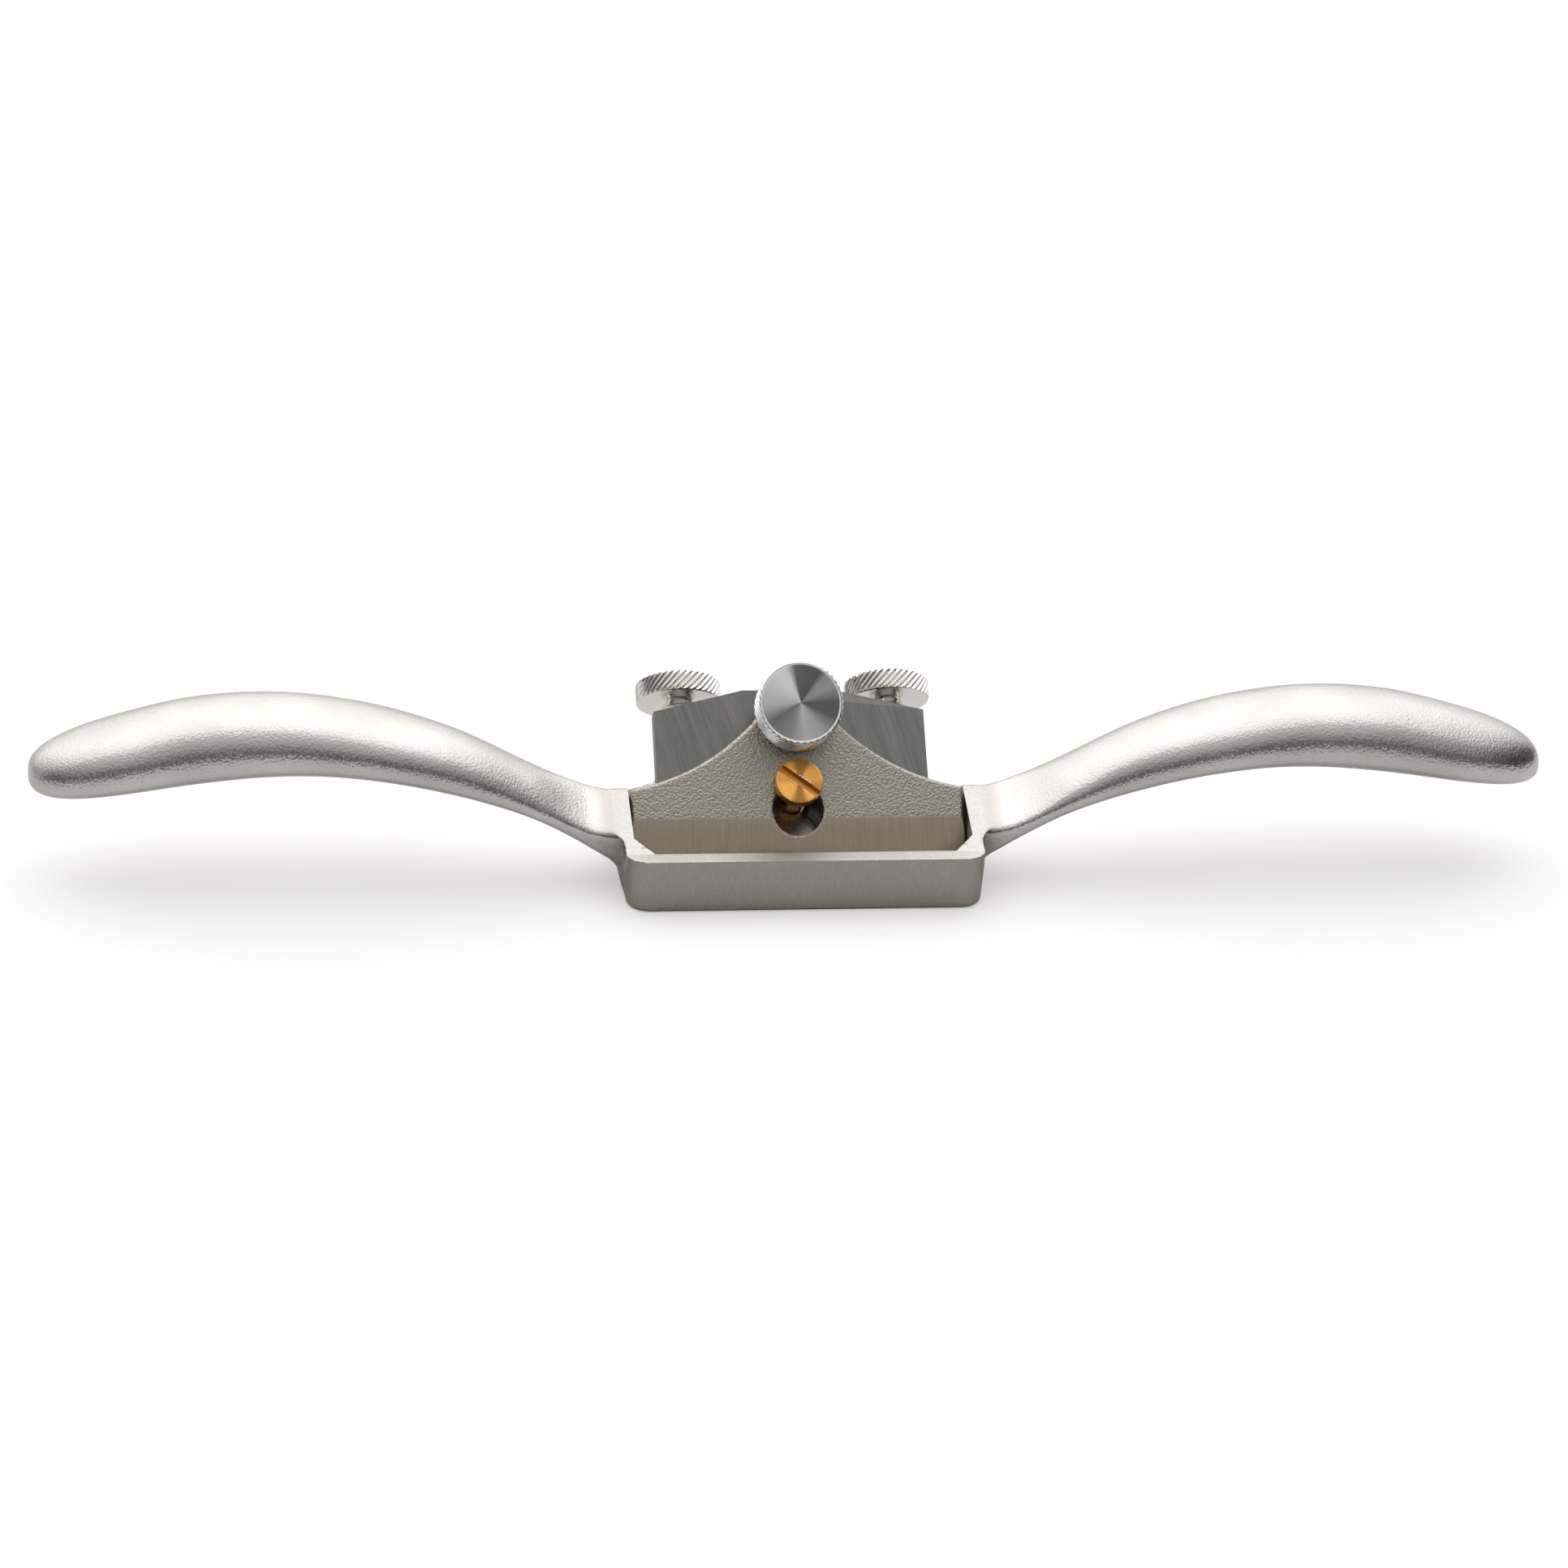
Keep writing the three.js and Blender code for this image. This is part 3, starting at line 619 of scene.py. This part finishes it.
def noise(tree, where, scale, detail=3.0, rough=0.5):
    inputs = {"Vector": where, "Scale": scale, "Detail": detail, "Roughness": rough}
    return add(tree, "ShaderNodeTexNoise", inputs).outputs["Fac"]


def spread(tree, value, low, high, to_low=0.0, to_high=1.0):
    """A value moved from one range to another, and held within it."""
    inputs = {"Value": value, "From Min": low, "From Max": high, "To Min": to_low, "To Max": to_high}
    return add(tree, "ShaderNodeMapRange", inputs).outputs[0]


def maths(tree, operation, a, b=0.0):
    return add(tree, "ShaderNodeMath", {0: a, 1: b}, operation=operation).outputs[0]


def mixed(tree, share, a, b, blend="MIX"):
    """Colour a with a share of colour b blended in."""
    inputs = {0: share, 6: a, 7: b}
    return add(tree, "ShaderNodeMix", inputs, data_type="RGBA", blend_type=blend).outputs[2]


def attribute(tree, name):
    """A value stored on the faces."""
    return add(tree, "ShaderNodeAttribute", attribute_name=name).outputs["Fac"]


def bump(tree, height, depth, normal=None):
    """Relief of a depth in millimetres over heights from 0 to 1."""
    inputs = {"Height": height, "Distance": depth * MM, "Strength": 1.0}
    if normal is not None:
        inputs["Normal"] = normal
    return add(tree, "ShaderNodeBump", inputs).outputs[0]


def pebbles(tree, where, size):
    """Close rounded grains of a cast surface, from 0 to 1."""
    inputs = {"Vector": where, "Scale": 1 / size}
    cells = add(tree, "ShaderNodeTexVoronoi", inputs, feature="SMOOTH_F1")
    grains = spread(tree, cells.outputs["Distance"], 0.0, 0.75, 1.0, 0.0)
    return maths(tree, "MULTIPLY_ADD", noise(tree, where, 1.6 / size, 3), grains)


def cast_steel():
    """Satin casting: pebbled handles, and a smoother block with a ground rim and sole."""
    material, tree, shader, where = new_material("cast_steel")
    ground = attribute(tree, "ground")
    cast = attribute(tree, "cast")
    broad = noise(tree, where, 0.06, 3)
    fine = noise(tree, where, 2.4, 4, 0.6)
    brushed = noise(tree, stretched(tree, where, (2.2, 0.4, 0.5)), 1.0, 4, 0.65)
    speckle = noise(tree, where, 1.5, 5, 0.7)
    share = spread(tree, brushed, 0.3, 0.7)
    smooth_tone = mixed(tree, share, (0.35, 0.32, 0.285, 1), (0.41, 0.375, 0.34, 1))
    share = spread(tree, broad, 0.35, 0.65)
    cast_tone = mixed(tree, share, (0.57, 0.547, 0.522, 1), (0.66, 0.637, 0.61, 1))
    share = spread(tree, speckle, 0.38, 0.62)
    rim_tone = mixed(tree, share, (0.54, 0.515, 0.49, 1), (0.62, 0.595, 0.57, 1))
    tone = mixed(tree, cast, smooth_tone, cast_tone)
    tree.links.new(mixed(tree, ground, tone, rim_tone), shader.inputs["Base Color"])
    rougher = maths(tree, "MULTIPLY", ground, 0.2)
    rough = maths(tree, "ADD", spread(tree, fine, 0.3, 0.7, 0.2, 0.29), rougher)
    tree.links.new(rough, shader.inputs["Roughness"])
    grain = maths(tree, "MULTIPLY", pebbles(tree, where, 0.45), cast)
    relief = bump(tree, grain, 0.075)
    relief = bump(tree, brushed, 0.006, normal=relief)
    tree.links.new(bump(tree, fine, 0.02, normal=relief), shader.inputs["Normal"])
    return material


def cap_steel():
    """Coarse pebbled casting, with the nose ground to a warm brushed band."""
    material, tree, shader, where = new_material("cap_steel")
    ground = attribute(tree, "ground")
    grain = pebbles(tree, where, 0.42)
    fine = noise(tree, where, 3.0, 4, 0.6)
    brushed = noise(tree, stretched(tree, where, (3.0, 0.1, 0.1)), 1.0, 4, 0.6)
    tone = mixed(tree, spread(tree, fine, 0.3, 0.7), (0.38, 0.35, 0.3, 1), (0.49, 0.46, 0.4, 1))
    nose = mixed(tree, spread(tree, brushed, 0.3, 0.7), (0.62, 0.52, 0.4, 1), (0.76, 0.65, 0.5, 1))
    up_blade = add(tree, "ShaderNodeSeparateXYZ", {0: where}).outputs[1]
    # Painted shade: the ground band is painted darker towards the nose tip
    nose_tip_painted_shade = spread(tree, up_blade, CAP_NOSE[0], CAP_KNEE[0], 0.35, 0.0)
    nose = mixed(tree, nose_tip_painted_shade, nose, (0.4, 0.32, 0.22, 1))
    tree.links.new(mixed(tree, ground, tone, nose), shader.inputs["Base Color"])
    tree.links.new(spread(tree, ground, 0, 1, 0.4, 0.3), shader.inputs["Roughness"])
    unground = maths(tree, "SUBTRACT", 1.0, ground)
    relief = bump(tree, maths(tree, "MULTIPLY", grain, unground), 0.18)
    tree.links.new(bump(tree, brushed, 0.008, normal=relief), shader.inputs["Normal"])
    return material


def blade_steel():
    """Dark tool steel, ground with long slanted lines."""
    material, tree, shader, where = new_material("blade_steel")
    slant = (0, 0, math.radians(-22))
    lines = noise(tree, stretched(tree, where, (5.0, 0.14, 0.14), slant), 1.0, 4, 0.7)
    broad = noise(tree, stretched(tree, where, (0.4, 0.05, 0.05), slant), 1.0, 2)
    dark = mixed(tree, spread(tree, lines, 0.3, 0.7), (0.12, 0.12, 0.113, 1), (0.2, 0.2, 0.187, 1))
    tone = mixed(tree, spread(tree, broad, 0.4, 0.7, 0, 0.3), dark, (0.29, 0.275, 0.245, 1))
    tree.links.new(tone, shader.inputs["Base Color"])
    tree.links.new(spread(tree, lines, 0.3, 0.7, 0.3, 0.42), shader.inputs["Roughness"])
    tree.links.new(bump(tree, lines, 0.012), shader.inputs["Normal"])
    return material


def wedges(tree, parts, stops):
    """Painted highlight and painted shade in wedges around the axis, standing in for the light a face off
    a lathe catches.
    """
    angle = maths(tree, "ARCTAN2", parts[1], parts[0])
    turn = maths(tree, "FRACT", maths(tree, "DIVIDE", angle, 2 * math.pi))
    ramp = add(tree, "ShaderNodeValToRGB", {0: turn})
    set_stops(ramp.color_ramp.elements, [(degrees / 360, value) for degrees, value in stops])
    return ramp.outputs[0]


def set_stops(elements, stops):
    """Fills a colour ramp with greys from (position, brightness) stops."""
    while len(elements) < len(stops):
        elements.new(0.5)
    for element, (position, value) in zip(elements, stops):
        element.position = position
        element.color = (value, value, value, 1)


def turned_metal(name, light, dark, roughness, stops=None):
    """Metal off a lathe: fine rings about its own axis and, given stops, wedges of painted highlight and
    painted shade on its face.
    """
    material, tree, shader, where = new_material(name)
    parts = add(tree, "ShaderNodeSeparateXYZ", {0: where}).outputs
    squares = [maths(tree, "MULTIPLY", part, part) for part in parts[:2]]
    around = maths(tree, "POWER", maths(tree, "ADD", *squares), 0.5)
    rings = add(tree, "ShaderNodeCombineXYZ", {0: around, 2: parts[2]}).outputs[0]
    rings = noise(tree, rings, 5.0, 4, 0.7)
    cloud = noise(tree, where, 0.5, 4, 0.6)
    tone = mixed(tree, spread(tree, rings, 0.3, 0.7), dark, light)
    tone = mixed(tree, spread(tree, cloud, 0.4, 0.7, 0, 0.3), tone, dark)
    if stops is not None:
        # Painted highlight: light and dark wedges are painted into the colour of the face
        shade = mixed(tree, attribute(tree, "face"), (1, 1, 1, 1), wedges(tree, parts, stops))
        tone = mixed(tree, 1.0, tone, shade, "MULTIPLY")
        # The slot's floor is painted darker: partly its rougher milled finish, partly painted shade in
        # the recess
        in_slot = [0.62 * value for value in dark[:3]] + [1]
        tone = mixed(tree, attribute(tree, "milled_with_painted_shade"), tone, in_slot)
        # Painted highlight: the burrs are painted pale, as glints on the slot's lips
        tone = mixed(tree, attribute(tree, "burr"), tone, (1, 0.86, 0.74, 1))
    tree.links.new(tone, shader.inputs["Base Color"])
    rough = spread(tree, cloud, 0.3, 0.7, roughness * 0.8, roughness * 1.2)
    tree.links.new(rough, shader.inputs["Roughness"])
    tree.links.new(bump(tree, rings, 0.004), shader.inputs["Normal"])
    return material


# The pieces

BODY_STEP = 0.45
GRIP_STEP = 0.98
TIP_STEP = 0.5
GRID_MARGIN = 0.62  # from the casting's lowest corner to the first grid line
CAP_STEP = 0.26
SCREW_STEP = 0.18
THREAD_STEP = 0.17
NEAR = 0.02  # how close a face's middle is to a surface that it lies on
RIM_END = (33.5, 37)  # x over which the ground rim fades out
CAST_START = (33.5, 39)  # x over which the pebbled surface fades in
HEEL_CAST_START = (2, 6)  # y over which it fades in behind the bed


def make_body(material):
    xs = np.concatenate([
        even(BODY_STEP / 2, 40, BODY_STEP),
        even(40.9, 130, GRIP_STEP),
        even(130.6, HALF_LENGTH + 1, TIP_STEP),
    ])
    ys = even(TOE_FRONT - GRID_MARGIN, 12.4, BODY_STEP)
    zs = even(-GRID_MARGIN, 36.4, BODY_STEP)
    vertices, quads = contour(body, mirrored(xs), ys, zs)
    piece = make_piece("casting", vertices, quads, material)
    middle, normal = face_middles(piece)
    side = np.abs(middle[:, 0])
    past_rim = smooth(side, *RIM_END)
    on_rim = np.abs(rim(*middle.T)) < NEAR + 2 * past_rim
    up = smooth(normal[:, 2], 0.7, 0.9)
    sole = middle[:, 2] < NEAR
    face_values(piece, "ground", np.maximum(on_rim * up * (1 - past_rim), sole))
    behind = smooth(middle[:, 1], *HEEL_CAST_START)
    face_values(piece, "cast", np.maximum(smooth(side, *CAST_START), behind) * ~sole)
    stands_for(piece, "body_casting", "body")


def make_cap(material):
    xs = mirrored(even(CAP_STEP / 2, 31.2, CAP_STEP))
    vertices, quads = contour(cap, xs, even(2.6, 40.6, CAP_STEP), even(-0.25, 9.2, CAP_STEP))
    piece = make_piece("cap", vertices, quads, material, BED)
    middle, normal = face_middles(piece)
    on_nose = np.abs(plane(middle[:, 1], middle[:, 2], CAP_NOSE, CAP_KNEE)) < NEAR
    face_values(piece, "ground", on_nose & (normal[:, 2] > 0.5))
    stands_for(piece, "lever_cap", "lever_cap")


def make_cap_screw(material):
    across = mirrored(even(SCREW_STEP / 2, 4.7, SCREW_STEP))
    vertices, quads = contour(cap_screw, across, across, even(-9.8, 8.1, THREAD_STEP))
    place = BED @ Matrix.Translation((0, SCREW_T * MM, 0))
    place = place @ Matrix.Rotation(SCREW_SLOT_ANGLE, 4, "Z")
    piece = make_piece("cap_screw_turned", vertices, quads, material, place, 25)
    middle, normal = face_middles(piece)
    width, depth = SCREW_SLOT
    top = SCREW_HEAD[1]
    in_slot = (np.abs(middle[:, 1]) < width / 2 + NEAR) & (middle[:, 2] > top - depth - 0.1)
    # The screw's end face, which gets the painted highlight wedges
    face_values(piece, "face", (middle[:, 2] > top - 0.05) & (normal[:, 2] > 0.8))
    # The slot's floor, painted darker for its milled finish and for painted shade
    face_values(piece, "milled_with_painted_shade", in_slot & (middle[:, 2] < top - 0.1))
    # The burrs, which get a painted highlight
    face_values(piece, "burr", middle[:, 2] > top + 0.05)
    stands_for(piece, "lever_cap_screw", "cap_screw")


def knurled_rim(radius, low, high):
    """Rows over a knurled edge, rounded where it meets the faces."""
    inner = [(radius, height, 1) for height in np.linspace(low + 0.35, high - 0.35, 9)]
    start = [(radius - 0.45, low, 0), (radius - 0.16, low + 0.1, 0.45)]
    end = [(radius - 0.16, high - 0.1, 0.45), (radius - 0.45, high, 0)]
    return start + inner + end


def plain(*points):
    """Rows without a knurl from (radius, height) points."""
    return [(radius, height, 0) for radius, height in points]


def joint_named(name):
    return next(joint for joint in frame["joints"] if joint["name"] == name)


def pointing(axis):
    """A rotation that points z along an axis."""
    return axis.to_track_quat("Z", "X").to_matrix().to_4x4()


def make_knob(side, material):
    """An adjuster knob, with z = 0 under its head and a collar that drives the blade."""
    name = f"{side}_adjuster_knob"
    joint = joint_named(f"{side}_knob_turn")
    top = KNOB_THICKNESS
    collar = plain((2.3, -6.6), (4.8, -6.6), (5, -6.4), (5, -5.3), (4.8, -5.1), (3.2, -5.1))
    neck = plain((3.2, -1.5), (2.85, -1.42), (2.85, -1.22), (3.1, -1.14), (3.1, -0.3), (3.3, -0.02))
    underside = plain((3.6, 0), (7.2, 0))
    rim_rows = knurled_rim(KNOB_RADIUS, 0, top)
    face = plain((7.35, top), (3.1, top), (2.9, top - 0.02), (2.6, top - 0.08), (2.3, top - 0.4))
    vertices, quads = knurled(collar + neck + underside + rim_rows + face, closed=True)
    place = Matrix.Translation(joint["pos_m"]) @ pointing(-Vector(joint["axis"]))
    piece = make_piece(f"{name}_turned", vertices, quads, material, place, 30)
    stands_for(piece, name, f"{side}_knob")


def make_thumbscrew(material):
    """The knurled thumbscrew, with a thin raised lip around a face that is slightly hollow."""
    joint = joint_named("thumbscrew_turn")
    low, high = THUMBSCREW_HEAD
    lip = [(7.44, high - 0.02), (7.4, high - 0.16), (7.2, high - 0.16), (7.16, high - 0.04)]
    rows = plain((0, 0.4), (2.2, 0.4), (3, 1.2), (3, low - 0.5), (3.3, low), (7.0, low))
    rows += knurled_rim(KNOB_RADIUS, low, high)
    rows += plain(*lip, (4, high - 0.1), (0.5, high - 0.16), (0, high - 0.24))
    vertices, quads = knurled(rows)
    place = Matrix.Translation(joint["pos_m"]) @ BED.to_3x3().to_4x4()
    place = place @ Matrix.Rotation(CAP_TILT, 4, "X")
    piece = make_piece("thumbscrew_turned", vertices, quads, material, place, 30)
    middle, _ = face_middles(piece)
    inside_lip = np.hypot(middle[:, 0], middle[:, 1]) < 7.15
    # The thumbscrew's face inside the lip, which gets the painted highlight wedges
    face_values(piece, "face", (middle[:, 2] > high - 0.3) & inside_lip)
    stands_for(piece, "lever_cap_thumbscrew", "thumbscrew")


def make_stud(side, material):
    """A threaded stud, standing out of the slab along the bed."""
    name = f"{side}_adjuster_stud"
    low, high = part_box(name)
    across = (low.x + high.x) / 2
    foot = BED @ Vector((across, STUD_FOOT_T * MM, STUD_H * MM))
    place = Matrix.Translation(foot) @ pointing(BED.to_3x3() @ Vector((0, 1, 0)))
    vertices, quads = threaded(STUD_RADIUS, STUD_LENGTH)
    piece = make_piece(f"{name}_threaded", vertices, quads, material, place, 50)
    stands_for(piece, name, "body")


def finish_blade(material):
    """The blade keeps its CAD shape, with its sharp corners just broken."""
    blade = frame["nodes"]["blade"]
    blade.data.materials.clear()
    blade.data.materials.append(material)
    weld = blade.modifiers.new("weld", "WELD")
    weld.merge_threshold = 0.02 * MM
    bevel = blade.modifiers.new("bevel", "BEVEL")
    bevel.width = 0.12 * MM
    bevel.segments = 2
    bevel.angle_limit = math.radians(28)
    bevel.harden_normals = True


# Floor and light

def make_floor():
    mesh = bpy.data.meshes.new("floor")
    reach = 4.0  # metres
    height = -0.02 * MM
    corners = [(x * reach, y * reach, height) for x, y in ((-1, -1), (1, -1), (1, 1), (-1, 1))]
    mesh.from_pydata(corners, [], [(0, 1, 2, 3)])
    floor = bpy.data.objects.new("floor", mesh)
    bpy.context.scene.collection.objects.link(floor)
    material, tree, shader, where = new_material("paper")
    shader.inputs["Metallic"].default_value = 0
    shader.inputs["Roughness"].default_value = 0.9
    tone = mixed(tree, noise(tree, where, 0.02, 3), (0.66, 0.66, 0.66, 1), (0.68, 0.677, 0.675, 1))
    tree.links.new(tone, shader.inputs["Base Color"])
    # The paper looks white to the camera, but lights the metal only as paper does
    seen = add(tree, "ShaderNodeLightPath").outputs["Is Camera Ray"]
    shader.inputs["Emission Color"].default_value = (1, 0.985, 0.98, 1)
    tree.links.new(maths(tree, "MULTIPLY", seen, 0.36), shader.inputs["Emission Strength"])
    mesh.materials.append(material)


# Brightness of the studio's walls and ceiling, by angle up from the front horizon and over
STUDIO = [
    (0, 0.05), (14, 0.1), (27, 0.36), (50, 0.62), (65, 0.72), (78, 1.5),
    (115, 1.8), (145, 1.65), (159, 1.45), (170, 1.0), (180, 0.6),
]
# Each side wall: the direction's x where it starts to dim the light and where it is darkest, and the
# share of the light that is left there
LEFT_WALL = (-0.5, -0.9, 0.3)
RIGHT_WALL = (0.48, 0.84, 0.05)


def make_studio():
    world = bpy.data.worlds.new("studio")
    bpy.context.scene.world = world
    world.use_nodes = True
    tree = world.node_tree
    direction = add(tree, "ShaderNodeTexCoord").outputs["Generated"]
    parts = add(tree, "ShaderNodeSeparateXYZ", {0: direction}).outputs
    front = maths(tree, "MULTIPLY", parts[1], -1.0)
    angle = maths(tree, "DIVIDE", maths(tree, "ARCTAN2", parts[2], front), math.pi)
    ramp = add(tree, "ShaderNodeValToRGB", {0: angle})
    brightest = max(value for _, value in STUDIO)
    stops = [(degrees / 180, value / brightest) for degrees, value in STUDIO]
    set_stops(ramp.color_ramp.elements, stops)
    dimmed = []
    for start, end, left_over in (LEFT_WALL, RIGHT_WALL):
        dimmed.append(spread(tree, parts[0], start, end, 1, left_over))
    aside = maths(tree, "MULTIPLY", *dimmed)
    background = tree.nodes["Background"]
    tree.links.new(ramp.outputs[0], background.inputs["Color"])
    tree.links.new(maths(tree, "MULTIPLY", aside, brightest), background.inputs["Strength"])
    bpy.context.scene.view_settings.view_transform = "Standard"


make_camera()
make_studio()
make_floor()
make_body(cast_steel())
make_cap(cap_steel())
finish_blade(blade_steel())
brass = turned_metal("turned_brass", (1, 0.53, 0.15, 1), (0.95, 0.42, 0.09, 1), 0.3, BRASS_FACE_PAINTED_HIGHLIGHTS)
make_cap_screw(brass)
steel = turned_metal("turned_steel", (0.92, 0.92, 0.89, 1), (0.82, 0.83, 0.82, 1), 0.22, STEEL_FACE_PAINTED_HIGHLIGHTS)
make_thumbscrew(steel)
nickel = turned_metal("bright_nickel", (0.94, 0.915, 0.87, 1), (0.82, 0.79, 0.74, 1), 0.18)
for side in ("left", "right"):
    make_knob(side, nickel)
    make_stud(side, nickel)
